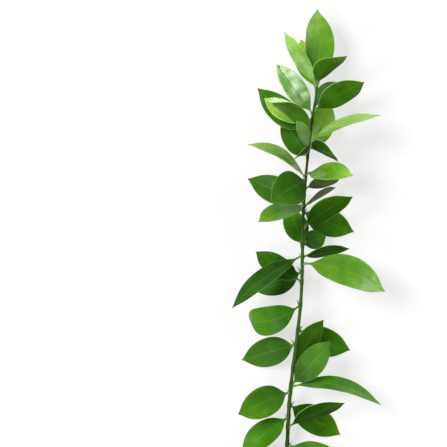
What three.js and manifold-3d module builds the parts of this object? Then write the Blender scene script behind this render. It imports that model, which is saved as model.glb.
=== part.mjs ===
// A cut ruscus stem lying on a table: one stalk and the leaf-like blades that grow from it, one body.
// Millimetres. X runs to the right, Y from the cut end to the growing tip, and Z up from the table.
import * as THREE from "three";
import { mergeVertices } from "three/addons/utils/BufferGeometryUtils.js";
import Module from "manifold-3d";

// The stalk's centre line, from the cut end to the growing tip.
const STALK_ROUTE = [
  [-19, -300, 2.2],
  [-14, -200, 10],
  [-10, -100, 21],
  [1, 0, 29],
  [3.5, 90, 32],
  [8.5, 150, 33],
  [17.5, 217, 36],
];
const STALK_RADIUS_CUT = 2.3;
const STALK_RADIUS_TIP = 1.0;
const STALK_SIDES = 8;
const STALK_RINGS = 40;
const CUT_SLANT = 0.9;

// The blades' thickness, and the stiffer stalk that each narrows to at its root.
const BLADE_THICKNESS = 0.7;
const ROOT_THICKNESS = 1.7;
const ROOT_HALF_WIDTH = 1.0;
const TIP_HALF_WIDTH = 0.35;
const ROOT_LENGTH = 0.09;
const ROOT_SWELL = 0.2;
const BLADE_CUP = 0.12;

// A blade's outline: where it is widest, how full its oval is, and how far its two ends draw in.
const OVAL_LEAN = 0.95;
const OVAL_FULLNESS = 0.62;
const LOWER_DRAW = 0.22;
const UPPER_DRAW = 0.16;

// How each blade is split: the same stations and strips on both faces.
const BLADE_STATIONS = [0, 0.1, 0.2, 0.35, 0.54, 0.73, 0.89, 1];
const BLADE_STRIPS = [-1, -0.5, 0, 0.5, 1];

// The blades, from the growing tip down. Each has the height on the stalk where it grows, the place of its
// tip, its width, its roll about the line from root to tip (0 shows the upper face to the sky) and its bend.
// Where they aren't the usual ones, it also has the share of it that is a narrow neck, and the share of its
// width by which its middle sways to its left. The last nine lie on the table.
const BLADES = [
  { at: 216, tip: [17.5, 292, 20], width: 30, roll: 8, bend: 18 },
  { at: 214, tip: [-16, 267, 40], width: 16, roll: -22, bend: 16 },
  { at: 209, tip: [2, 263, 4], width: 27, roll: 6, bend: 8 },
  { at: 215, tip: [45, 241, 72], width: 25, roll: -127, bend: 22, sway: -0.28 },
  { at: 185, tip: [-23, 236, 24], width: 22, roll: -8, bend: 18 },
  { at: 178, tip: [-36, 203, 13], width: 22, roll: 8, bend: -14 },
  { at: 190, tip: [63, 216.5, 54], width: 28, roll: -146, bend: 20 },
  { at: 194, tip: [42, 219, 17], width: 23, roll: -10, bend: -12 },
  { at: 165, tip: [-29, 196, 62], width: 27, roll: 122, bend: 55 },
  { at: 149, tip: [31, 201, 4], width: 27, roll: -4, bend: -30 },
  { at: 158, tip: [79, 184, 48], width: 28, roll: -66, bend: 36 },
  { at: 152, tip: [-5, 178, 62], width: 15, roll: 30, bend: 15 },
  { at: 152, tip: [35, 140, 74], width: 30, roll: -112, bend: 30 },
  { at: 148, tip: [-8, 139, 68], width: 25, roll: 100, bend: 20 },
  { at: 121, tip: [-52, 155, 46], width: 27, roll: 66, bend: 55 },
  { at: 126, tip: [51, 124, 60], width: 28, roll: -46, bend: 42 },
  { at: 112, tip: [40, 122, 40], width: 24, roll: -124, bend: 12 },
  { at: 93, tip: [37, 113, 7], width: 21, roll: -106, bend: 12 },
  { at: 121, tip: [-30, 99, 80], width: 36, roll: 0, bend: 25 },
  { at: 95, tip: [-42, 78, 76], width: 30, roll: 52, bend: 25 },
  { at: 72, tip: [52, 103, 48], width: 28, roll: -138, bend: 18 },
  { at: 54, tip: [-12, 92, 8], width: 25, roll: 5, bend: -24 },
  { at: 44, tip: [-68, -8, 38], width: 25, roll: 46, bend: 36 },
  { at: 43, tip: [50, 51, 24], width: 26, roll: -116, bend: 16 },
  { at: 55, tip: [27, 63, 12], width: 20, roll: -8, bend: -12 },
  { at: 36, tip: [84, 9, 46], width: 36, roll: -32, bend: 48, neck: 0.1 },
  { at: 18, tip: [-44, 48, 12], width: 26, roll: 30, bend: 15 },
  { at: -5, tip: [-51, -17, 4], width: 30, roll: 0, bend: 120, neck: 0.1, sway: 0.28 },
  { at: -68, tip: [24, -20, 22], width: 26, roll: -150, bend: 15 },
  { at: -86, tip: [30, -41, 36], width: 28, roll: -20, bend: 15 },
  { at: -88, tip: [81, -105, 36], width: 25, roll: -60, bend: 60 },
  { at: -93, tip: [-62, -114, 38], width: 32, roll: -6, bend: 22 },
  { at: -118, tip: [-58, -152, 24], width: 30, roll: 35, bend: 35 },
  { at: -128, tip: [44, -102, 48], width: 28, roll: -128, bend: 20 },
  { at: -146, tip: [50, -170, 30], width: 30, roll: -25, bend: 35 },
  { at: -160, tip: [-62, -186, 14], width: 30, roll: 20, bend: 25 },
  { at: 170, tip: [-42, 214, 0.1], width: 28, roll: 4, bend: -60 },
  { at: 143, tip: [-18, 182, 0.1], width: 27, roll: 4, bend: -68 },
  { at: 104, tip: [-52, 122, 0.1], width: 29, roll: 4, bend: -58 },
  { at: 88, tip: [56, 68, 0.1], width: 29, roll: -3, bend: -58 },
  { at: 28, tip: [-52, 12, 0.1], width: 29, roll: 3, bend: -56 },
  { at: -30, tip: [52, -52, 0.1], width: 30, roll: -3, bend: -50 },
  { at: -45, tip: [-58, -62, 0.1], width: 30, roll: 3, bend: -50 },
  { at: -106, tip: [42, -138, 0.1], width: 29, roll: -3, bend: -38 },
  { at: -174, tip: [40, -206, 0.1], width: 28, roll: -4, bend: -24 },
];

// The waxy green of the blades, the slab that stands for the table, and the middle of the stem's outline.
const LEAF_GREEN = 0x4f880c;
const LEAF_ROUGHNESS = 0.42;
const TABLE_SIZE = [400, 800, 40];
const BOX_CENTRE = [7.94, -4.78];

// The stalk as a smooth curve, and where it is at a height, found by halving.
const route = new THREE.CatmullRomCurve3(STALK_ROUTE.map((point) => new THREE.Vector3(...point)));
const HALVINGS = 40;

function stalkShareAt(height) {
  let low = 0;
  let high = 1;
  for (let step = 0; step < HALVINGS; step += 1) {
    const middle = (low + high) / 2;
    if (route.getPoint(middle).y < height) low = middle;
    else high = middle;
  }
  return low;
}

// The stalk: a tapered rod laid along the curve, with its lower end cut at a slant.
function stalkGeometry() {
  const rod = new THREE.CylinderGeometry(1, 1, 1, STALK_SIDES, STALK_RINGS);
  const places = rod.attributes.position;
  const up = new THREE.Vector3(0, 0, 1);
  for (let i = 0; i < places.count; i += 1) {
    const share = places.getY(i) + 0.5;
    const radius = THREE.MathUtils.lerp(STALK_RADIUS_CUT, STALK_RADIUS_TIP, share);
    const along = route.getTangent(share);
    const side = new THREE.Vector3().crossVectors(along, up).normalize();
    const top = new THREE.Vector3().crossVectors(side, along);
    const place = route.getPoint(share);
    place.addScaledVector(side, places.getX(i) * radius);
    place.addScaledVector(top, places.getZ(i) * radius);
    if (share === 0) place.addScaledVector(along, places.getZ(i) * radius * CUT_SLANT);
    places.setXYZ(i, place.x, place.y, place.z);
  }
  return rod;
}

// A blade's outline: an ellipse that narrows quickly to a root below and to a spine above.
function bladeHalfWidth(blade, share) {
  const neck = blade.neck ?? ROOT_LENGTH;
  const reach = THREE.MathUtils.clamp((share - neck) / (1 - neck), 0, 1);
  const oval = Math.sin(Math.PI * reach ** OVAL_LEAN) ** OVAL_FULLNESS;
  const lower = Math.sqrt(Math.min(1, reach / LOWER_DRAW));
  const upper = Math.sqrt(Math.min(1, (1 - reach) / UPPER_DRAW));
  const floor = THREE.MathUtils.lerp(ROOT_HALF_WIDTH, TIP_HALF_WIDTH, share);
  return Math.max(floor, (blade.width / 2) * oval * lower * upper);
}

function bladeThickness(share) {
  const swell = Math.max(0, 1 - share / ROOT_SWELL);
  return THREE.MathUtils.lerp(BLADE_THICKNESS, ROOT_THICKNESS, swell);
}

// A blade's frame: its root on the stalk, the line to its tip, its width direction and its upper side.
function bladeFrame(blade) {
  const root = route.getPoint(stalkShareAt(blade.at));
  const line = new THREE.Vector3(...blade.tip).sub(root);
  const chord = line.length();
  const along = line.normalize();
  const level = new THREE.Vector3(-along.y, along.x, 0).normalize();
  const sky = new THREE.Vector3().crossVectors(along, level);
  const roll = THREE.MathUtils.degToRad(blade.roll);
  const side = level.clone().multiplyScalar(Math.cos(roll)).addScaledVector(sky, Math.sin(roll));
  const top = sky.clone().multiplyScalar(Math.cos(roll)).addScaledVector(level, -Math.sin(roll));
  const bend = THREE.MathUtils.degToRad(blade.bend);
  const radius = chord / (2 * Math.sin(bend / 2));
  return { root, along, side, top, bend, radius };
}

// A point of a blade that is bent along an arc and cupped across: face is 1 above and -1 below.
function bladePoint(blade, frame, share, strip, face) {
  const turn = frame.bend * (share - 0.5);
  const ahead = frame.radius * (Math.sin(turn) + Math.sin(frame.bend / 2));
  const rise = frame.radius * (Math.cos(turn) - Math.cos(frame.bend / 2));
  const normal = frame.top.clone().multiplyScalar(Math.cos(turn));
  normal.addScaledVector(frame.along, Math.sin(turn));
  const half = bladeHalfWidth(blade, share);
  const sway = (blade.sway ?? 0) * blade.width * Math.sin(Math.PI * share);
  const lift = BLADE_CUP * half * strip * strip + (face * bladeThickness(share)) / 2;
  return frame.root
    .clone()
    .addScaledVector(frame.along, ahead)
    .addScaledVector(frame.top, rise)
    .addScaledVector(frame.side, half * strip + sway)
    .addScaledVector(normal, lift);
}

// A blade: two faces split alike into triangles, and a rim that joins them all round.
function bladeGeometry(blade) {
  const frame = bladeFrame(blade);
  const rows = BLADE_STATIONS.length;
  const columns = BLADE_STRIPS.length;
  const points = [];
  for (const face of [1, -1]) {
    for (const share of BLADE_STATIONS) {
      for (const strip of BLADE_STRIPS) points.push(bladePoint(blade, frame, share, strip, face));
    }
  }
  const upper = (row, column) => row * columns + column;
  const lower = (row, column) => rows * columns + upper(row, column);
  const triangles = [];
  for (let row = 0; row + 1 < rows; row += 1) {
    for (let column = 0; column + 1 < columns; column += 1) {
      const corners = [[row, column], [row + 1, column], [row + 1, column + 1], [row, column + 1]];
      const [a, b, c, d] = corners.map((corner) => upper(...corner));
      const [e, f, g, h] = corners.map((corner) => lower(...corner));
      triangles.push(a, b, c, a, c, d, e, g, f, e, h, g);
    }
  }
  const wall = (from, to) => {
    const [a, b] = [upper(...from), upper(...to)];
    const [c, d] = [lower(...from), lower(...to)];
    triangles.push(a, d, b, a, c, d);
  };
  for (let row = 0; row + 1 < rows; row += 1) {
    wall([row, 0], [row + 1, 0]);
    wall([row + 1, columns - 1], [row, columns - 1]);
  }
  for (let column = 0; column + 1 < columns; column += 1) {
    wall([0, column + 1], [0, column]);
    wall([rows - 1, column], [rows - 1, column + 1]);
  }
  const geometry = new THREE.BufferGeometry().setFromPoints(points);
  geometry.setIndex(triangles);
  return geometry;
}

// Closed shapes become solids to be joined, and the joined solid becomes one shape again.
const wasm = await Module();
wasm.setup();

function solidFrom(geometry) {
  geometry.deleteAttribute("normal");
  geometry.deleteAttribute("uv");
  const closed = mergeVertices(geometry);
  const vertProperties = closed.attributes.position.array;
  const triVerts = new Uint32Array(closed.index.array);
  return new wasm.Manifold(new wasm.Mesh({ numProp: 3, vertProperties, triVerts }));
}

function geometryFrom(solid) {
  const { vertProperties, triVerts } = solid.getMesh();
  const geometry = new THREE.BufferGeometry();
  geometry.setAttribute("position", new THREE.BufferAttribute(vertProperties, 3));
  geometry.setIndex(new THREE.BufferAttribute(triVerts, 1));
  geometry.computeVertexNormals();
  return geometry;
}

// The grown body: the blades joined to the stalk, and pressed flat where they meet the table.
function leafyStem() {
  let body = solidFrom(stalkGeometry());
  for (const blade of BLADES) body = body.add(solidFrom(bladeGeometry(blade)));
  const table = new THREE.BoxGeometry(...TABLE_SIZE).translate(0, 0, -TABLE_SIZE[2] / 2);
  body = body.subtract(solidFrom(table));
  const looks = { color: LEAF_GREEN, roughness: LEAF_ROUGHNESS, metalness: 0 };
  const mesh = new THREE.Mesh(geometryFrom(body), new THREE.MeshStandardMaterial(looks));
  mesh.name = "leafy_stem";
  mesh.position.set(-BOX_CENTRE[0], -BOX_CENTRE[1], 0);
  return mesh;
}

const group = new THREE.Group();
group.add(leafyStem());

export default group;
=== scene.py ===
# A cut ruscus stem lying on a pale table, seen from straight above.
import math
import random

import bmesh
import bpy
from mathutils import Matrix, Vector


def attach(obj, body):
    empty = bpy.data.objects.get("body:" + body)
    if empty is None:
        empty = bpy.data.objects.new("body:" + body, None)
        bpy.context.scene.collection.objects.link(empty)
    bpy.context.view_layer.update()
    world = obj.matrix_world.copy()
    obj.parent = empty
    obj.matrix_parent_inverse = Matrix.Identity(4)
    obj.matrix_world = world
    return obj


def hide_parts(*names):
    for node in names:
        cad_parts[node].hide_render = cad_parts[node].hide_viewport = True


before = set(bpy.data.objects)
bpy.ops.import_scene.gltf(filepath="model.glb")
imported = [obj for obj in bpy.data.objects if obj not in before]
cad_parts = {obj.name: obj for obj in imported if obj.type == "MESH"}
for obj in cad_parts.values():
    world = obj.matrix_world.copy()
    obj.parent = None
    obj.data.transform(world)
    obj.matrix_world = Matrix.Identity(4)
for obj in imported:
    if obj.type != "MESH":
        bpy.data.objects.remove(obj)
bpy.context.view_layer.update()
bpy.ops.object.select_all(action="DESELECT")

# Lengths are millimetres. The stem's own measures start at a point on the stalk, and BOX_CENTRE is where the
# middle of its outline lies from there.
MM = 0.001
BOX_CENTRE = Vector((7.94, -4.78, 0.0))
NODE = "leafy_stem"
SEED = 20

# The stalk's centre line, from the cut end to the growing tip.
STALK_ROUTE = [
    (-19, -300, 2.2),
    (-14, -200, 10),
    (-10, -100, 21),
    (1, 0, 29),
    (3.5, 90, 32),
    (8.5, 150, 33),
    (17.5, 217, 36),
]

# The stalk's thickness, and its ridges and swollen joints, whose heights are shares of its radius. Edges of
# more than STALK_CREASE degrees stay sharp.
STALK_RADIUS_CUT = 2.3
STALK_RADIUS_TIP = 1.0
STALK_STEPS = 200
STALK_RIDGES = 9
POINTS_PER_RIDGE = 4
RIDGE_DEPTH = 0.07
JOINT_SWELL = 0.28
JOINT_REACH = 3.0
STALK_CREASE = 50
MERGE_DISTANCE = 0.001

# A height on the stalk is found in this many halvings, and the stalk's direction is taken over this share
# of it on either side.
HALVINGS = 40
STALK_NUDGE = 0.005

# The slanted cut: its steepness, the length that is cut away, the rim of rind and how far the pith is sunk.
# The face that the cut leaves is known by its many corners and by how squarely it faces the cut.
CUT_SLANT = 0.9
CUT_WASTE = 4
RIND = 0.35
PITH_SINK = 0.15
CUT_LEAST_CORNERS = 8
CUT_FACING = 0.9

# The papery scale under each blade. Its width and the place of its foot are in stalk radii, its clasp round
# the stalk and its curl are in radians, and it leans out from the stalk by a share of its length.
SCALE_ROWS = 7
SCALE_COLUMNS = 4
SCALE_LENGTH = (5.0, 8.0)
SCALE_WIDTH = 2.2
SCALE_BASE = 0.75
SCALE_SWELL = 0.6
SCALE_TAPER = 0.7
SCALE_POINT = 0.06
SCALE_CLASP = 2.0
SCALE_LEAN = (0.35, 0.6)
SCALE_CURL = (-0.5, 0.1)
SCALE_FOOT = 0.95
SCALE_DROP = 1.6
SCALE_THICKNESS = 0.2

# A point of a flat piece is on a row when it is within this share of the gap between two rows.
ROW_REACH = 0.3

# The blades' outline, shape and thickness. The neck and its fade are shares of the length, and the oval's
# lean, fullness and drawn-out point are powers. The groove and the swing of the middle are shares of the
# width, the cup is its depth over half the width, and the twist is in degrees. A blade that has no lean of
# its own below gets one of the usual leans.
BLADE_ROWS = 32
BLADE_COLUMNS = 10
TYPICAL_WIDTH = 29
BLADE_THICKNESS = 0.55
NECK_THICKNESS = 1.6
NECK_HALF_WIDTH = 1.0
NECK_SHARE = 0.08
NECK_FADE = 0.1
SPINE_HALF_WIDTH = 0.22
OVAL_LEAN = 0.95
OVAL_FULLNESS = 0.62
POINT_DRAW = 0.5
BLADE_CUP = 0.12
CUP_RANGE = (0.6, 1.3)
TWIST_RANGE = (-12, 12)
MIDRIB_SINK = 0.012
MIDRIB_REACH = 0.002
SICKLE = 0.07
USUAL_LEANS = (-1, 0, 1)
UNEVEN_DEPTH = 2.2
UNEVEN_SIZE = 22

# The blades, from the growing tip down: the height on the stalk where each grows, the place of its tip, its
# width, its roll and bend in degrees, and how pale it is, from -1 for dark to 1 for pale: partly its age,
# old or young, and partly painted light and shade that makes a blade paler or darker for how it lies to the
# light.
# Some also have the share that is their neck, a lean of their middle to the left or, below 0, to the right,
# and how far they have dried. The last nine, from the tip down again, bend to the table.
LEAVES = [
    dict(at=216, tip=(17.5, 292, 20), width=30, roll=8, bend=18, age_and_shading=0.38, lean=-1),
    dict(at=214, tip=(-16, 267, 40), width=16, roll=-22, bend=16, age_and_shading=0.6, lean=-1),
    dict(at=209, tip=(2, 263, 4), width=27, roll=6, bend=8, age_and_shading=0.6, lean=0),
    dict(at=215, tip=(45, 241, 72), width=25, roll=-127, bend=22, age_and_shading=0.3, lean=-4),
    dict(at=185, tip=(-23, 236, 24), width=22, roll=-8, bend=18, age_and_shading=0.3, lean=-1),
    dict(at=178, tip=(-36, 203, 13), width=22, roll=8, bend=-14, age_and_shading=0.6),
    dict(at=190, tip=(63, 216.5, 54), width=28, roll=-146, bend=20, age_and_shading=0.1),
    dict(at=194, tip=(42, 219, 17), width=23, roll=-10, bend=-12, age_and_shading=0.0),
    dict(at=165, tip=(-29, 196, 62), width=27, roll=122, bend=55, age_and_shading=0.3),
    dict(at=149, tip=(31, 201, 4), width=27, roll=-4, bend=-30, age_and_shading=0.75),
    dict(at=158, tip=(79, 184, 48), width=28, roll=-66, bend=36, age_and_shading=0.75),
    dict(at=152, tip=(-5, 178, 62), width=15, roll=30, bend=15, age_and_shading=0.4),
    dict(at=152, tip=(35, 140, 74), width=30, roll=-112, bend=30, age_and_shading=-0.5),
    dict(at=148, tip=(-8, 139, 68), width=25, roll=100, bend=20, age_and_shading=-0.5),
    dict(at=121, tip=(-52, 155, 46), width=27, roll=66, bend=55, age_and_shading=0.7),
    dict(at=126, tip=(51, 124, 60), width=28, roll=-46, bend=42, age_and_shading=0.6),
    dict(at=112, tip=(40, 122, 40), width=24, roll=-124, bend=12, age_and_shading=0.1, dry=0.45),
    dict(at=93, tip=(37, 113, 7), width=21, roll=-106, bend=12, age_and_shading=0.2, dry=0.75),
    dict(at=121, tip=(-30, 99, 80), width=36, roll=0, bend=25, age_and_shading=-0.3),
    dict(at=95, tip=(-42, 78, 76), width=30, roll=52, bend=25, age_and_shading=0.15),
    dict(at=72, tip=(52, 103, 48), width=28, roll=-138, bend=18, age_and_shading=-0.2),
    dict(at=54, tip=(-12, 92, 8), width=25, roll=5, bend=-24, age_and_shading=-0.3),
    dict(at=44, tip=(-68, -8, 38), width=25, roll=46, bend=36, age_and_shading=-0.75),
    dict(at=43, tip=(50, 51, 24), width=26, roll=-116, bend=16, age_and_shading=-0.6),
    dict(at=55, tip=(27, 63, 12), width=20, roll=-8, bend=-12, age_and_shading=-0.4),
    dict(at=36, tip=(84, 9, 46), width=36, roll=-32, bend=48, neck=0.1, age_and_shading=0.4, lean=1),
    dict(at=18, tip=(-44, 48, 12), width=26, roll=30, bend=15, age_and_shading=-0.5),
    dict(at=-5, tip=(-51, -17, 4), width=30, roll=0, bend=120, neck=0.1, age_and_shading=-0.2, lean=4),
    dict(at=-68, tip=(24, -20, 22), width=26, roll=-150, bend=15, age_and_shading=-0.1),
    dict(at=-86, tip=(30, -41, 36), width=28, roll=-20, bend=15, age_and_shading=-0.3),
    dict(at=-88, tip=(81, -105, 36), width=25, roll=-60, bend=60, age_and_shading=0.0),
    dict(at=-93, tip=(-62, -114, 38), width=32, roll=-6, bend=22, age_and_shading=0.0),
    dict(at=-118, tip=(-58, -152, 24), width=30, roll=35, bend=35, age_and_shading=-0.2),
    dict(at=-128, tip=(44, -102, 48), width=28, roll=-128, bend=20, age_and_shading=-0.4),
    dict(at=-146, tip=(50, -170, 30), width=30, roll=-25, bend=35, age_and_shading=0.0),
    dict(at=-160, tip=(-62, -186, 14), width=30, roll=20, bend=25, age_and_shading=-0.2),
    dict(at=170, tip=(-42, 214, 0.1), width=28, roll=4, bend=-60, age_and_shading=-0.3),
    dict(at=143, tip=(-18, 182, 0.1), width=27, roll=4, bend=-68, age_and_shading=-0.5),
    dict(at=104, tip=(-52, 122, 0.1), width=29, roll=4, bend=-58, age_and_shading=-0.4),
    dict(at=88, tip=(56, 68, 0.1), width=29, roll=-3, bend=-58, age_and_shading=-0.3),
    dict(at=28, tip=(-52, 12, 0.1), width=29, roll=3, bend=-56, age_and_shading=-0.5),
    dict(at=-30, tip=(52, -52, 0.1), width=30, roll=-3, bend=-50, age_and_shading=-0.3),
    dict(at=-45, tip=(-58, -62, 0.1), width=30, roll=3, bend=-50, age_and_shading=-0.4),
    dict(at=-106, tip=(42, -138, 0.1), width=29, roll=-3, bend=-38, age_and_shading=-0.3),
    dict(at=-174, tip=(40, -206, 0.1), width=28, roll=-4, bend=-24, age_and_shading=-0.2),
]

# The finish of the blades by age: the lowest paleness that it holds for, a paleness that holds painted light
# and shade as well as age, then the roughness and the shine of the upper face and of the under face. A blade
# loses its wax film as it gets older.
AGES = [
    dict(name="young", age_and_shading=0.25, upper=(0.25, 0.85), under=(0.5, 0.05)),
    dict(name="grown", age_and_shading=-0.15, upper=(0.36, 0.36), under=(0.52, 0.04)),
    dict(name="old", age_and_shading=-1.0, upper=(0.47, 0.15), under=(0.55, 0.03)),
]

# Colours: the blades' greens from old and dark to young and pale, those of the under face darker and greyer
# as painted shade, the tints over them, and a dark and a light one of the rest.
UPPER_GREENS = ("#1a4403", "#2d6105", "#468307", "#6ca61e", "#9fcd4c")
# The under face's greens are darker and greyer than the upper ones as painted shade.
SHADED_UNDER_GREENS = ("#193b04", "#285207", "#39690c", "#57881f", "#86ae4a")
VEIN_GREEN = "#234f06"
RIB_GREEN = "#86b748"
EDGE_GREEN = "#a3c66a"
DRY_POINT = "#8a6d3c"
DRY_MAUVE = "#7d7066"
RIND_GREENS = ("#26430a", "#476f1a")
SCALE_STRAWS = ("#8f9a5c", "#c9c79a")
PITH_CREAMS = ("#7f9a4c", "#cdd6a4")
ACRYLIC_GREYS = ("#9c9c9a", "#a0a09f")
WHITE = "#ffffff"

# A blade's pattern. Bands are where a tint begins and ends, along the length or out from the middle of the
# width. The veins are fewer and the grain is coarser than on the real blade, so that they show. UPPER_VEINS
# and UNDER_VEINS are how far the veins are tinted and how high they stand.
VEINS = 9
VEIN_CREST = 0.2
UPPER_VEINS = (0.1, 0.03)
UNDER_VEINS = (0.2, 0.06)
MIDRIB_BAND = (0.006, 0.03)
MIDRIB_TINT = 0.2
EDGE_BAND = (0.475, 0.498)
EDGE_TINT = 0.75
NECK_BAND = (0.03, 0.16)
NECK_TINT = 0.5
POINT_BAND = (0.972, 0.99)
CLOUD_SIZE = 24
CLOUD_BAND = (0.3, 0.7)
CLOUD_AGEING = (-0.13, 0.13)
CLOUD_DULLING = (-0.04, 0.06)
# Paler toward the point: partly the blade's own paling, partly painted light on its end.
RIPE_AND_LIT_BAND = (0.1, 1.0)
RIPENING_AND_TIP_LIGHT = (-0.1, 0.16)
GRAIN_SIZE = 0.9
GRAIN_HEIGHT = 0.5

# How strongly the plant's skins bend light, how much of it sinks into a blade, and how far red, green and
# blue then go.
PLANT_IOR = 1.45
LEAF_SCATTER = 0.5
LEAF_SCATTER_RADIUS = (0.5, 1.0, 0.2)
LEAF_SCATTER_SCALE = 1.0

# The streaks of the rind and the scales, turned in radians to run along the stalk, and the strands of the
# pith. Both are coarser than real fibres, so that they show.
STREAK_WIDTH = 0.7
STREAK_LENGTH = 11
STREAK_LEAN = (0.085, 0.0, -0.07)
STREAK_BAND = (0.3, 0.72)
STREAK_HEIGHT = 0.08
STREAK_RELIEF = 0.8
RIND_ROUGHNESS = 0.5
SCALE_ROUGHNESS = 0.6
RIND_SHINE = 0.2
STRAND_SPACING = 0.5
STRAND_BAND = (0.2, 0.4)
STRAND_HEIGHT = 0.1
STRAND_RELIEF = 0.6
PITH_ROUGHNESS = 0.6

# The table, which lies just under the stem.
TABLE_SIZE = 40000
TABLE_DROP = 0.2
FROST_SIZE = 60
ACRYLIC_ROUGHNESS = 0.9
ACRYLIC_SHINE = 0.1
ACRYLIC_GLOW = 0.65

# The lights: the direction that each comes from, its softness in degrees and its strength.
LIGHTS = {
    "key": dict(source=(-0.6, 0.26, 0.76), spread=28, strength=2.4),
    "fill": dict(source=(-0.53, -0.46, 0.71), spread=20, strength=0.6),
    "rim": dict(source=(0.66, 0.62, 0.42), spread=30, strength=0.6),
}

# The strength of the sky as a light and as a backdrop.
SKY_LIGHT = 0.3
BACKDROP_LIGHT = 1.0

# The camera: the point at the middle of the picture, the width that the picture takes in there, the camera's
# height over the table and the width of its sensor.
PHOTO_MIDDLE = Vector((-76.5, 76.5, 33))
PHOTO_WIDTH = 447
CAMERA_HEIGHT = 2200
SENSOR = 36


# Colour and node helpers
def linear(hex_colour):
    """An sRGB hex value as linear red, green, blue and alpha."""
    parts = [int(hex_colour[i:i + 2], 16) / 255 for i in (1, 3, 5)]
    return [p / 12.92 if p <= 0.04045 else ((p + 0.055) / 1.055) ** 2.4 for p in parts] + [1.0]


def add_node(tree, kind, values=None, links=None, **settings):
    """A shader node with its settings, its fixed values and what feeds its sockets."""
    made = tree.nodes.new(kind)
    for name, value in settings.items():
        setattr(made, name, value)
    for socket, value in (values or {}).items():
        made.inputs[socket].default_value = value
    for socket, source in (links or {}).items():
        tree.links.new(source, made.inputs[socket])
    return made


def new_material(name):
    """An empty node material, its tree and its Principled shader."""
    material = bpy.data.materials.new(name)
    material.use_nodes = True
    return material, material.node_tree, material.node_tree.nodes["Principled BSDF"]


# Where the stalk and the blades are
def spline_weights(before, start, end, after):
    """A smooth stretch from start to end that takes its slope from the points on either side."""
    first, middle, last = [(b - a).length ** 0.5 for a, b in ((before, start), (start, end), (end, after))]
    leave = (start - before) / first - (end - before) / (first + middle) + (end - start) / middle
    arrive = (end - start) / middle - (after - start) / (middle + last) + (after - end) / last
    leave *= middle
    arrive *= middle
    return start, leave, 3 * (end - start) - 2 * leave - arrive, 2 * (start - end) + leave + arrive


def stalk_point(share):
    """The stalk's centre line at a share of the way from the cut end to the tip, in the stem's measures."""
    points = [Vector(p) for p in STALK_ROUTE]
    points = [2 * points[0] - points[1]] + points + [2 * points[-1] - points[-2]]
    place = share * (len(STALK_ROUTE) - 1)
    index = min(int(place), len(STALK_ROUTE) - 2)
    t = place - index
    c0, c1, c2, c3 = spline_weights(*points[index:index + 4])
    return c0 + c1 * t + c2 * t ** 2 + c3 * t ** 3


def stalk_share_at(height):
    """The share of the stalk at a height along it, found by halving."""
    low, high = 0.0, 1.0
    for _ in range(HALVINGS):
        middle = (low + high) / 2
        if stalk_point(middle).y < height:
            low = middle
        else:
            high = middle
    return low


def placed(point):
    """A point in the stem's measures, as metres in the shared frame."""
    return (point - BOX_CENTRE) * MM


def stalk_direction(low, high):
    """The way the stalk runs between two shares of it."""
    return (placed(stalk_point(high)) - placed(stalk_point(low))).normalized()


def stalk_radius(share):
    """The stalk's radius, thinner to the tip and swollen at each joint where a blade grows."""
    height = stalk_point(share).y
    plain = STALK_RADIUS_CUT + (STALK_RADIUS_TIP - STALK_RADIUS_CUT) * share
    nearest = min(abs(height - leaf["at"]) for leaf in LEAVES)
    return plain * (1 + JOINT_SWELL * math.exp(-((nearest / JOINT_REACH) ** 2)))


def half_width(width, neck, share):
    """Half of a blade's width at a share of its length: an oval that draws in to a neck and to a spine."""
    reach = min(max((share - neck) / (1 - neck), 0.0), 1.0)
    swell = max(math.sin(math.pi * reach ** OVAL_LEAN), 0.0)
    oval = swell ** (OVAL_FULLNESS + POINT_DRAW * (1 - swell) ** 2)
    least = NECK_HALF_WIDTH + (SPINE_HALF_WIDTH - NECK_HALF_WIDTH) * share
    return math.hypot(least, width / 2 * oval)


def side_swing(lean, share):
    """How far a blade's middle line swings to the side at a share of its length."""
    return lean * SICKLE * math.sin(math.pi * share)


def leaf_frame(leaf):
    """A blade's root, its turn as a matrix, its bend in radians and the radius of that bend, in metres."""
    root = placed(stalk_point(stalk_share_at(leaf["at"])))
    line = placed(Vector(leaf["tip"])) - root
    along = line.normalized()
    level = Vector((-along.y, along.x, 0)).normalized()
    sky = along.cross(level)
    roll = math.radians(leaf["roll"])
    side = level * math.cos(roll) + sky * math.sin(roll)
    top = sky * math.cos(roll) - level * math.sin(roll)
    turn = Matrix((along, -top, side)).transposed()
    bend = math.radians(leaf["bend"])
    radius = line.length / (2 * math.sin(bend / 2))
    return root, turn, bend, radius


# Modelling helpers
def only(piece):
    """Makes one object the active and only selected one."""
    bpy.ops.object.select_all(action="DESELECT")
    piece.select_set(True)
    bpy.context.view_layer.objects.active = piece


def apply_modifier(piece, kind, **settings):
    """Adds a modifier with its settings and applies it."""
    made = piece.modifiers.new(kind.lower(), kind)
    for name, value in settings.items():
        setattr(made, name, value)
    bpy.ops.object.modifier_apply(modifier=made.name)


def select_where(piece, test):
    """In edit mode, selects the vertices that pass a test on their place."""
    bpy.ops.mesh.select_mode(type="VERT")
    bpy.ops.mesh.select_all(action="DESELECT")
    mesh = bmesh.from_edit_mesh(piece.data)
    for vertex in mesh.verts:
        vertex.select = test(vertex.co)
    mesh.select_flush_mode()
    bmesh.update_edit_mesh(piece.data)


def select_row(piece, here, rows):
    """In edit mode, selects one row of points across a flat piece that is one unit long."""
    select_where(piece, lambda co: abs(co.x - here) < ROW_REACH / rows)


def stand_on_edge():
    """In edit mode, turns a flat piece so that its width is on Z and its upper face looks to -Y."""
    bpy.ops.mesh.select_all(action="SELECT")
    bpy.ops.transform.rotate(value=-math.pi / 2, orient_axis="X", center_override=(0, 0, 0))


def lay_on_table(piece, least):
    """Presses what would sink below a height flat at that height."""
    bpy.ops.object.mode_set(mode="EDIT")
    select_where(piece, lambda co: co.z < least)
    bpy.ops.transform.resize(value=(1, 1, 0), center_override=(0, 0, least))
    bpy.ops.object.mode_set(mode="OBJECT")


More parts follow.
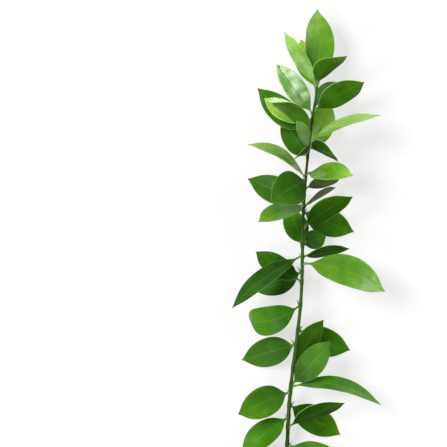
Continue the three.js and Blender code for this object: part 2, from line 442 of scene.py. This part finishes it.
def copy_of(template, name):
    """A copy of a modelled piece with its own mesh, as the only selected object."""
    piece = template.copy()
    piece.data = template.data.copy()
    piece.name = name
    piece.data.name = name
    bpy.context.collection.objects.link(piece)
    only(piece)
    return piece


def finish_piece(piece):
    """Gives a piece its place in the shared frame's bookkeeping."""
    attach(piece, "root")
    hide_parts(NODE)


# Stalk
def stalk_section():
    """The stalk's ridged outline, one unit in radius, as a closed curve."""
    bpy.ops.curve.primitive_bezier_circle_add(radius=1)
    section = bpy.context.object
    section.name = "stalk_section"
    section.data.splines.clear()
    ring = section.data.splines.new("POLY")
    count = STALK_RIDGES * POINTS_PER_RIDGE
    ring.points.add(count - 1)
    for i in range(count):
        angle = 2 * math.pi * i / count
        radius = 1 - RIDGE_DEPTH / 2 * (1 - math.cos(STALK_RIDGES * angle))
        ring.points[i].co = (radius * math.cos(angle), radius * math.sin(angle), 0, 1)
    ring.use_cyclic_u = True
    return section


def stalk_path(section):
    """The stalk as a curve that carries its section along the route, with some to spare at the cut end."""
    bpy.ops.curve.primitive_nurbs_path_add()
    path = bpy.context.object
    path.name = "stalk"
    path.data.splines.clear()
    line = path.data.splines.new("POLY")
    line.points.add(STALK_STEPS)
    for i, point in enumerate(line.points):
        share = i / STALK_STEPS
        point.co = (*placed(stalk_point(share)), 1)
        point.radius = stalk_radius(share) * MM
    waste = stalk_direction(0, 2 * STALK_NUDGE) * CUT_WASTE * MM
    line.points[0].co = (*(placed(stalk_point(0)) - waste), 1)
    path.data.dimensions = "3D"
    path.data.twist_mode = "Z_UP"
    path.data.bevel_mode = "OBJECT"
    path.data.bevel_object = section
    path.data.use_fill_caps = True
    return path


def select_cut(stalk, slant):
    """In edit mode, selects the face that the cut left."""
    bpy.ops.mesh.select_mode(type="FACE")
    bpy.ops.mesh.select_all(action="DESELECT")
    mesh = bmesh.from_edit_mesh(stalk.data)
    mesh.normal_update()
    for face in mesh.faces:
        face.select = len(face.verts) > CUT_LEAST_CORNERS and face.normal.dot(slant) < -CUT_FACING
    mesh.select_flush_mode()
    bmesh.update_edit_mesh(stalk.data)


def cut_end(stalk):
    """In edit mode, cuts the lower end at a slant, sinks the pith inside the rind and leaves it selected."""
    ahead = stalk_direction(0, 2 * STALK_NUDGE)
    slant = (ahead - Vector((0, 0, CUT_SLANT))).normalized()
    bpy.ops.mesh.select_all(action="SELECT")
    bpy.ops.mesh.bisect(plane_co=placed(stalk_point(0)), plane_no=slant, use_fill=True, clear_inner=True)
    select_cut(stalk, slant)
    bpy.ops.mesh.inset(thickness=RIND * MM)
    bpy.ops.transform.translate(value=slant * PITH_SINK * MM)


def grow_stalk():
    """The ridged stalk along its route, with its rind and the pale pith of the cut."""
    section = stalk_section()
    only(stalk_path(section))
    bpy.ops.object.convert(target="MESH")
    stalk = bpy.context.object
    bpy.data.objects.remove(section)
    bpy.ops.object.mode_set(mode="EDIT")
    bpy.ops.mesh.select_all(action="SELECT")
    bpy.ops.mesh.remove_doubles(threshold=MERGE_DISTANCE * MM)
    bpy.ops.mesh.normals_make_consistent(inside=False)
    cut_end(stalk)
    stalk.data.materials.append(green_rind())
    stalk.data.materials.append(spongy_pith())
    stalk.active_material_index = 1
    bpy.ops.object.material_slot_assign()
    bpy.ops.object.mode_set(mode="OBJECT")
    lay_on_table(stalk, 0)
    bpy.ops.object.shade_smooth_by_angle(angle=math.radians(STALK_CREASE))
    return stalk


# Papery scales
def model_scale():
    """A small pointed scale one unit long, lengthwise on X, with its width on Z and its outer face to -Y."""
    bpy.ops.mesh.primitive_grid_add(x_subdivisions=SCALE_ROWS, y_subdivisions=SCALE_COLUMNS, size=1)
    scale = bpy.context.object
    scale.name = "papery_scale"
    scale.data.materials.append(dry_scale())
    bpy.ops.object.mode_set(mode="EDIT")
    for row in range(SCALE_ROWS + 1):
        share = row / SCALE_ROWS
        here = share - 0.5
        select_row(scale, here, SCALE_ROWS)
        wide = max(SCALE_POINT, (1 - share) ** SCALE_TAPER * (SCALE_BASE + SCALE_SWELL * share))
        bpy.ops.transform.resize(value=(1, wide, 1), center_override=(here, 0, 0))
    stand_on_edge()
    bpy.ops.object.mode_set(mode="OBJECT")
    return scale


def scale_axes(leaf, share, draw):
    """At a blade's scale: the ways along the stalk and out from it, where the scale points and its turn."""
    along = stalk_direction(share - STALK_NUDGE, min(share + STALK_NUDGE, 1.0))
    _, blade_turn, _, _ = leaf_frame(leaf)
    blade_way = blade_turn.col[0]
    out = (blade_way - along * blade_way.dot(along)).normalized()
    axis = (along + out * draw.uniform(*SCALE_LEAN)).normalized()
    top = (out - axis * out.dot(axis)).normalized()
    turn = Matrix((axis, -top, top.cross(axis))).transposed()
    return along, out, axis, turn


def grow_scale(template, leaf, draw):
    """A dry scale that clasps the stalk just under a blade's neck and points up along it."""
    share = stalk_share_at(leaf["at"])
    radius = stalk_radius(share)
    along, out, axis, turn = scale_axes(leaf, share, draw)
    piece = copy_of(template, "papery_scale")
    length = draw.uniform(*SCALE_LENGTH) * MM
    width = SCALE_WIDTH * radius * MM
    curl = draw.uniform(*SCALE_CURL)
    piece.scale = (length, width, width)
    bpy.ops.object.transform_apply(scale=True)
    apply_modifier(piece, "SIMPLE_DEFORM", deform_method="BEND", deform_axis="X", angle=SCALE_CLASP)
    apply_modifier(piece, "SIMPLE_DEFORM", deform_method="BEND", deform_axis="Z", angle=curl)
    foot = placed(stalk_point(share)) - along * SCALE_DROP * MM + out * radius * SCALE_FOOT * MM
    piece.matrix_world = Matrix.Translation(foot + axis * length * 0.5) @ turn.to_4x4()
    bpy.ops.object.transform_apply()
    apply_modifier(piece, "SOLIDIFY", thickness=SCALE_THICKNESS * MM, offset=0)
    apply_modifier(piece, "SUBSURF", levels=1, render_levels=1)
    return piece


def grow_scales(draw):
    """All the stalk's scales as one piece."""
    template = model_scale()
    scales = [grow_scale(template, leaf, draw) for leaf in LEAVES]
    bpy.data.objects.remove(template)
    only(scales[0])
    for scale in scales:
        scale.select_set(True)
    bpy.ops.object.join()
    bpy.ops.object.shade_smooth()
    joined = bpy.context.object
    joined.name = "papery_scales"
    return joined


# Blades
def sink_midrib(blade, neck, lean):
    """In edit mode, presses a shallow groove along the middle of the blade."""
    def on_midrib(co):
        return abs(co.y - side_swing(lean, co.x + 0.5)) < MIDRIB_REACH and co.x > neck - 0.5
    select_where(blade, on_midrib)
    bpy.ops.transform.translate(value=(0, 0, -MIDRIB_SINK))


def model_blade(name, neck, lean):
    """A flat blade one unit long and one wide, lengthwise on X, with its width on Z and its upper face to
    -Y. It has a slot for each face's material and a group that fades from the root to past the neck."""
    bpy.ops.mesh.primitive_grid_add(x_subdivisions=BLADE_ROWS, y_subdivisions=BLADE_COLUMNS, size=1)
    blade = bpy.context.object
    blade.name = name
    blade.data.materials.append(None)
    blade.data.materials.append(None)
    bpy.ops.object.mode_set(mode="EDIT")
    for row in range(BLADE_ROWS + 1):
        share = row / BLADE_ROWS
        here = share - 0.5
        select_row(blade, here, BLADE_ROWS)
        wide = 2 * half_width(TYPICAL_WIDTH, neck, share) / TYPICAL_WIDTH
        bpy.ops.transform.resize(value=(1, wide, 1), center_override=(here, 0, 0))
        bpy.ops.transform.translate(value=(0, side_swing(lean, share), 0))
    sink_midrib(blade, neck, lean)
    stand_on_edge()
    bpy.ops.object.mode_set(mode="OBJECT")
    group = blade.vertex_groups.new(name="neck")
    for vertex in blade.data.vertices:
        share = vertex.co.x + 0.5
        group.add([vertex.index], max(0.0, 1 - share / (neck + NECK_FADE)), "REPLACE")
    return blade


def grow_leaf(name, leaf, template, unevenness, draw):
    """One blade, cupped, twisted and bent, in its place on the stalk, with its thickness."""
    root, turn, bend, radius = leaf_frame(leaf)
    piece = copy_of(template, name)
    piece.scale = (radius * bend, leaf["width"] * MM, leaf["width"] * MM)
    bpy.ops.object.transform_apply(scale=True)
    cup = 4 * math.atan(BLADE_CUP * draw.uniform(*CUP_RANGE))
    apply_modifier(piece, "SIMPLE_DEFORM", deform_method="BEND", deform_axis="X", angle=-cup)
    twist = math.radians(draw.uniform(*TWIST_RANGE))
    apply_modifier(piece, "SIMPLE_DEFORM", deform_method="TWIST", deform_axis="X", angle=twist)
    apply_modifier(piece, "SIMPLE_DEFORM", deform_method="BEND", deform_axis="Z", angle=bend)
    root_end = Vector((-radius * math.sin(bend / 2), radius * (1 - math.cos(bend / 2)), 0))
    piece.matrix_world = Matrix.Translation(root - turn @ root_end) @ turn.to_4x4()
    bpy.ops.object.transform_apply()
    apply_modifier(
        piece, "DISPLACE", texture=unevenness, texture_coords="GLOBAL", mid_level=0.5,
        strength=UNEVEN_DEPTH * MM,
    )
    lay_on_table(piece, BLADE_THICKNESS * MM / 2)
    apply_modifier(
        piece, "SOLIDIFY", thickness=NECK_THICKNESS * MM, offset=0, vertex_group="neck",
        thickness_vertex_group=BLADE_THICKNESS / NECK_THICKNESS, material_offset=1,
    )
    apply_modifier(piece, "SUBSURF", levels=1, render_levels=1)
    lay_on_table(piece, 0)
    bpy.ops.object.shade_smooth()
    return piece


def age_of(leaf):
    """The first age, from young to old, that a blade's tone is high enough for."""
    return next(age for age in AGES if leaf["age_and_shading"] >= age["age_and_shading"])


def write_share(piece, name, share):
    """Writes one share, from 0 to 1, on all of a blade's mesh for the leaf materials to read."""
    values = piece.data.attributes.new(name, "FLOAT", "POINT")
    values.data.foreach_set("value", [share] * len(piece.data.vertices))


def grow_leaves(draw):
    """All the blades, each from a copy of a flat one that has the same neck and lean."""
    faces = {age["name"]: (waxy_upper_face(age), dull_shaded_under_face(age)) for age in AGES}
    unevenness = bpy.data.textures.new("unevenness", "CLOUDS")
    unevenness.noise_scale = UNEVEN_SIZE * MM
    templates = {}
    for number, leaf in enumerate(LEAVES, 1):
        usual_lean = draw.choice(USUAL_LEANS)
        kind = (leaf.get("neck", NECK_SHARE), leaf.get("lean", usual_lean))
        if kind not in templates:
            templates[kind] = model_blade(f"blade_{len(templates)}", *kind)
        piece = grow_leaf(f"leaf_{number:02d}", leaf, templates[kind], unevenness, draw)
        for slot, face in enumerate(faces[age_of(leaf)["name"]]):
            piece.data.materials[slot] = face
        # How pale the blade is: partly its age and partly painted light and shade.
        write_share(piece, "age_and_shading", (leaf["age_and_shading"] + 1) / 2)
        write_share(piece, "dry", leaf.get("dry", 0.0))
        finish_piece(piece)
    for template in templates.values():
        bpy.data.objects.remove(template)


# Blade materials
def age_and_shading_pattern(tree, along, cloud):
    """How pale a blade is from place to place: its age together with painted light and shade, varied in
    clouds, and paler to the point, partly its own paling and partly painted light on its end.
    """
    # The blade's paleness, which holds its age and painted light and shade.
    age_and_shading = add_node(tree, "ShaderNodeAttribute", attribute_name="age_and_shading")
    patch = add_node(
        tree, "ShaderNodeMapRange",
        {
            "From Min": CLOUD_BAND[0], "From Max": CLOUD_BAND[1],
            "To Min": CLOUD_AGEING[0], "To Max": CLOUD_AGEING[1],
        },
        {"Value": cloud},
    )
    # Paler toward the point: partly the blade's own paling, partly painted light on its end.
    ripe_and_lit = add_node(
        tree, "ShaderNodeMapRange",
        {"From Min": RIPE_AND_LIT_BAND[0], "From Max": RIPE_AND_LIT_BAND[1], "To Min": RIPENING_AND_TIP_LIGHT[0], "To Max": RIPENING_AND_TIP_LIGHT[1]},
        {"Value": along},
    )
    patched = add_node(
        tree, "ShaderNodeMath", links={0: age_and_shading.outputs["Fac"], 1: patch.outputs["Result"]}, operation="ADD",
    )
    age = add_node(
        tree, "ShaderNodeMath", links={0: patched.outputs[0], 1: ripe_and_lit.outputs["Result"]}, operation="ADD",
        use_clamp=True,
    )
    return age.outputs[0]


def green_by_age_and_shading(tree, age, greens):
    """The green for a blade's age and painted light and shade, from greens that go from old and dark to
    young and pale in even steps.
    """
    ramp = add_node(tree, "ShaderNodeValToRGB", links={"Fac": age})
    stops = ramp.color_ramp.elements
    for step in range(1, len(greens) - 1):
        stops.new(step / (len(greens) - 1))
    for stop, green in zip(stops, greens):
        stop.color = linear(green)
    return ramp.outputs["Color"]


def vein_pattern(tree, across):
    """Even parallel veins, which meet at both ends of the blade because its width narrows there."""
    turns = add_node(tree, "ShaderNodeMath", {1: 2 * math.pi * VEINS}, {0: across}, operation="MULTIPLY")
    wave = add_node(tree, "ShaderNodeMath", links={0: turns.outputs[0]}, operation="SINE")
    vein = add_node(
        tree, "ShaderNodeMapRange", {"From Min": VEIN_CREST, "From Max": 1.0}, {"Value": wave.outputs[0]},
    )
    return vein.outputs["Result"]


def tint_layers(tree, along, across):
    """The pale thread along the middle, the pale neck and edge and the dry point, each with its tint."""
    offset = add_node(tree, "ShaderNodeMath", {1: 0.5}, {0: across}, operation="SUBTRACT")
    from_middle = add_node(tree, "ShaderNodeMath", links={0: offset.outputs[0]}, operation="ABSOLUTE")
    midrib = add_node(
        tree, "ShaderNodeMapRange",
        {"From Min": MIDRIB_BAND[0], "From Max": MIDRIB_BAND[1], "To Min": MIDRIB_TINT, "To Max": 0.0},
        {"Value": from_middle.outputs[0]},
    )
    neck = add_node(
        tree, "ShaderNodeMapRange",
        {"From Min": NECK_BAND[0], "From Max": NECK_BAND[1], "To Min": NECK_TINT, "To Max": 0.0},
        {"Value": along},
    )
    edge = add_node(
        tree, "ShaderNodeMapRange",
        {"From Min": EDGE_BAND[0], "From Max": EDGE_BAND[1], "To Max": EDGE_TINT},
        {"Value": from_middle.outputs[0]},
    )
    point = add_node(
        tree, "ShaderNodeMapRange", {"From Min": POINT_BAND[0], "From Max": POINT_BAND[1]}, {"Value": along},
    )
    tints = ((midrib, RIB_GREEN), (neck, RIB_GREEN), (edge, EDGE_GREEN), (point, DRY_POINT))
    return [(mask.outputs["Result"], tint) for mask, tint in tints]


def tinted(tree, colour, layers):
    """A colour with tints laid over it one after another, each by its own share."""
    for share, tint in layers:
        layer = add_node(
            tree, "ShaderNodeMix", {"B": linear(tint)}, {"Factor": share, "A": colour}, data_type="RGBA",
        )
        colour = layer.outputs["Result"]
    return colour


def relief(tree, place, vein, height):
    """The bump of the veins and of a fine grain between them."""
    grain = add_node(
        tree, "ShaderNodeTexNoise", {"Scale": 1 / (GRAIN_SIZE * MM), "Detail": 2.0},
        {"Vector": place.outputs["Object"]},
    )
    low_grain = add_node(
        tree, "ShaderNodeMath", {1: GRAIN_HEIGHT}, {0: grain.outputs["Fac"]}, operation="MULTIPLY",
    )
    heights = add_node(tree, "ShaderNodeMath", links={0: vein, 1: low_grain.outputs[0]}, operation="ADD")
    bump = add_node(
        tree, "ShaderNodeBump", {"Strength": 1.0, "Distance": height * MM}, {"Height": heights.outputs[0]},
    )
    return bump.outputs["Normal"]


def blade_face(name, greens, veins, finish):
    """One face of a blade, in greens from old and dark to young and pale that carry painted light and shade
    as well as age, with its veins, its tints and its finish.
    """
    vein_tint, vein_height = veins
    roughness, shine = finish
    material, tree, shader = new_material(name)
    place = add_node(tree, "ShaderNodeTexCoord")
    flat = add_node(tree, "ShaderNodeSeparateXYZ", links={0: place.outputs["UV"]})
    along, across = flat.outputs["X"], flat.outputs["Y"]
    dry = add_node(tree, "ShaderNodeAttribute", attribute_name="dry")
    cloud = add_node(
        tree, "ShaderNodeTexNoise", {"Scale": 1 / (CLOUD_SIZE * MM), "Detail": 4.0, "Roughness": 0.6},
        {"Vector": place.outputs["Object"]},
    ).outputs["Fac"]
    vein = vein_pattern(tree, across)
    vein_share = add_node(tree, "ShaderNodeMath", {1: vein_tint}, {0: vein}, operation="MULTIPLY")
    green = green_by_age_and_shading(tree, age_and_shading_pattern(tree, along, cloud), greens)
    layers = [(dry.outputs["Fac"], DRY_MAUVE), (vein_share.outputs[0], VEIN_GREEN)]
    layers += tint_layers(tree, along, across)
    tree.links.new(tinted(tree, green, layers), shader.inputs["Base Color"])
    dulling = add_node(
        tree, "ShaderNodeMapRange",
        {
            "From Min": CLOUD_BAND[0], "From Max": CLOUD_BAND[1],
            "To Min": roughness + CLOUD_DULLING[0], "To Max": roughness + CLOUD_DULLING[1],
        },
        {"Value": cloud},
    )
    tree.links.new(dulling.outputs["Result"], shader.inputs["Roughness"])
    tree.links.new(relief(tree, place, vein, vein_height), shader.inputs["Normal"])
    shader.inputs["IOR"].default_value = PLANT_IOR
    shader.inputs["Specular IOR Level"].default_value = shine
    shader.inputs["Subsurface Weight"].default_value = LEAF_SCATTER
    shader.inputs["Subsurface Radius"].default_value = LEAF_SCATTER_RADIUS
    shader.inputs["Subsurface Scale"].default_value = LEAF_SCATTER_SCALE * MM
    return material


def waxy_upper_face(age):
    """The cladode's upper skin under its wax film: deep green, and while young so smooth that it mirrors the
    light softly."""
    return blade_face(f"waxy_upper_face_{age['name']}", UPPER_GREENS, UPPER_VEINS, age["upper"])


def dull_shaded_under_face(age):
    """The cladode's lower skin, which has no wax film: dull, with the veins a little raised, in darker and
    greyer greens that are painted shade.
    """
    return blade_face(f"dull_shaded_under_face_{age['name']}", SHADED_UNDER_GREENS, UNDER_VEINS, age["under"])


# Stalk materials
def streaked_skin(name, colours, roughness):
    """Skin that was drawn out as it grew: its fibres show as streaks along the stalk, under 1 mm wide."""
    material, tree, shader = new_material(name)
    place = add_node(tree, "ShaderNodeTexCoord")
    fibres = add_node(
        tree, "ShaderNodeMapping",
        {"Scale": (STREAK_WIDTH * MM, STREAK_LENGTH * MM, STREAK_WIDTH * MM), "Rotation": STREAK_LEAN},
        {"Vector": place.outputs["Object"]}, vector_type="TEXTURE",
    )
    streak = add_node(
        tree, "ShaderNodeTexNoise", {"Scale": 1.0, "Detail": 3.0}, {"Vector": fibres.outputs["Vector"]},
    )
    ramp = add_node(tree, "ShaderNodeValToRGB", links={"Fac": streak.outputs["Fac"]})
    for stop, place, colour in zip(ramp.color_ramp.elements, STREAK_BAND, colours):
        stop.position = place
        stop.color = linear(colour)
    tree.links.new(ramp.outputs["Color"], shader.inputs["Base Color"])
    bump = add_node(
        tree, "ShaderNodeBump", {"Strength": STREAK_RELIEF, "Distance": STREAK_HEIGHT * MM},
        {"Height": streak.outputs["Fac"]},
    )
    tree.links.new(bump.outputs["Normal"], shader.inputs["Normal"])
    shader.inputs["Roughness"].default_value = roughness
    shader.inputs["IOR"].default_value = PLANT_IOR
    shader.inputs["Specular IOR Level"].default_value = RIND_SHINE
    return material


def green_rind():
    """The stalk's tough skin: dark satin green, streaked by its fibres."""
    return streaked_skin("green_rind", RIND_GREENS, RIND_ROUGHNESS)


def dry_scale():
    """The scales' dead, papery skin: straw-coloured and dull, with the same fibres."""
    return streaked_skin("dry_scale", SCALE_STRAWS, SCALE_ROUGHNESS)


def spongy_pith():
    """The fresh cut: pale wet tissue with darker strands scattered through it."""
    material, tree, shader = new_material("spongy_pith")
    place = add_node(tree, "ShaderNodeTexCoord")
    strands = add_node(
        tree, "ShaderNodeTexVoronoi", {"Scale": 1 / (STRAND_SPACING * MM)},
        {"Vector": place.outputs["Object"]},
    )
    ramp = add_node(tree, "ShaderNodeValToRGB", links={"Fac": strands.outputs["Distance"]})
    for stop, place, cream in zip(ramp.color_ramp.elements, STRAND_BAND, PITH_CREAMS):
        stop.position = place
        stop.color = linear(cream)
    tree.links.new(ramp.outputs["Color"], shader.inputs["Base Color"])
    bump = add_node(
        tree, "ShaderNodeBump", {"Strength": STRAND_RELIEF, "Distance": STRAND_HEIGHT * MM},
        {"Height": strands.outputs["Distance"]},
    )
    tree.links.new(bump.outputs["Normal"], shader.inputs["Normal"])
    shader.inputs["Roughness"].default_value = PITH_ROUGHNESS
    return material


# Table, light and camera
def frosted_acrylic():
    """The table: a white frosted acrylic sheet lit from below, so that shadows on it stay faint."""
    material, tree, shader = new_material("frosted_acrylic")
    place = add_node(tree, "ShaderNodeTexCoord")
    frost = add_node(
        tree, "ShaderNodeTexNoise", {"Scale": 1 / (FROST_SIZE * MM), "Detail": 5.0},
        {"Vector": place.outputs["Object"]},
    )
    ramp = add_node(tree, "ShaderNodeValToRGB", links={"Fac": frost.outputs["Fac"]})
    for stop, grey in zip(ramp.color_ramp.elements, ACRYLIC_GREYS):
        stop.color = linear(grey)
    tree.links.new(ramp.outputs["Color"], shader.inputs["Base Color"])
    shader.inputs["Roughness"].default_value = ACRYLIC_ROUGHNESS
    shader.inputs["Specular IOR Level"].default_value = ACRYLIC_SHINE
    shader.inputs["Emission Color"].default_value = linear(WHITE)
    shader.inputs["Emission Strength"].default_value = ACRYLIC_GLOW
    return material


def set_table():
    """The sheet that the stem lies on."""
    bpy.ops.mesh.primitive_plane_add(size=TABLE_SIZE * MM, location=(0, 0, -TABLE_DROP * MM))
    table = bpy.context.object
    table.name = "table"
    table.data.materials.append(frosted_acrylic())


def set_camera():
    """A camera straight above, whose picture has the photograph's frame."""
    camera = bpy.data.objects.new("camera", bpy.data.cameras.new("camera"))
    bpy.context.collection.objects.link(camera)
    middle = placed(PHOTO_MIDDLE)
    camera.location = (middle.x, middle.y, CAMERA_HEIGHT * MM)
    camera.data.sensor_width = SENSOR
    camera.data.lens = SENSOR * (CAMERA_HEIGHT - PHOTO_MIDDLE.z) / PHOTO_WIDTH
    bpy.context.scene.camera = camera


def far_light(name, source, spread, strength):
    """An even light from far off in the direction of source, as soft as its spread in degrees."""
    light = bpy.data.objects.new(name, bpy.data.lights.new(name, "SUN"))
    light.data.angle = math.radians(spread)
    light.data.energy = strength
    light.rotation_euler = (-Vector(source)).to_track_quat("-Z", "Y").to_euler()
    bpy.context.collection.objects.link(light)


def set_sky():
    """A white sky that lights the stem dimly and is a bright backdrop in low views."""
    world = bpy.data.worlds.new("studio")
    world.use_nodes = True
    tree = world.node_tree
    background = tree.nodes["Background"]
    background.inputs["Color"].default_value = linear(WHITE)
    seen = add_node(tree, "ShaderNodeLightPath").outputs["Is Camera Ray"]
    glow = add_node(
        tree, "ShaderNodeMapRange", {"To Min": SKY_LIGHT, "To Max": BACKDROP_LIGHT}, {"Value": seen},
    )
    tree.links.new(glow.outputs["Result"], background.inputs["Strength"])
    bpy.context.scene.world = world


# Making
draw = random.Random(SEED)
finish_piece(grow_stalk())
finish_piece(grow_scales(draw))
grow_leaves(draw)
set_table()
set_camera()
for light_name, light in LIGHTS.items():
    far_light(light_name, **light)
set_sky()
bpy.context.scene.view_settings.view_transform = "Standard"
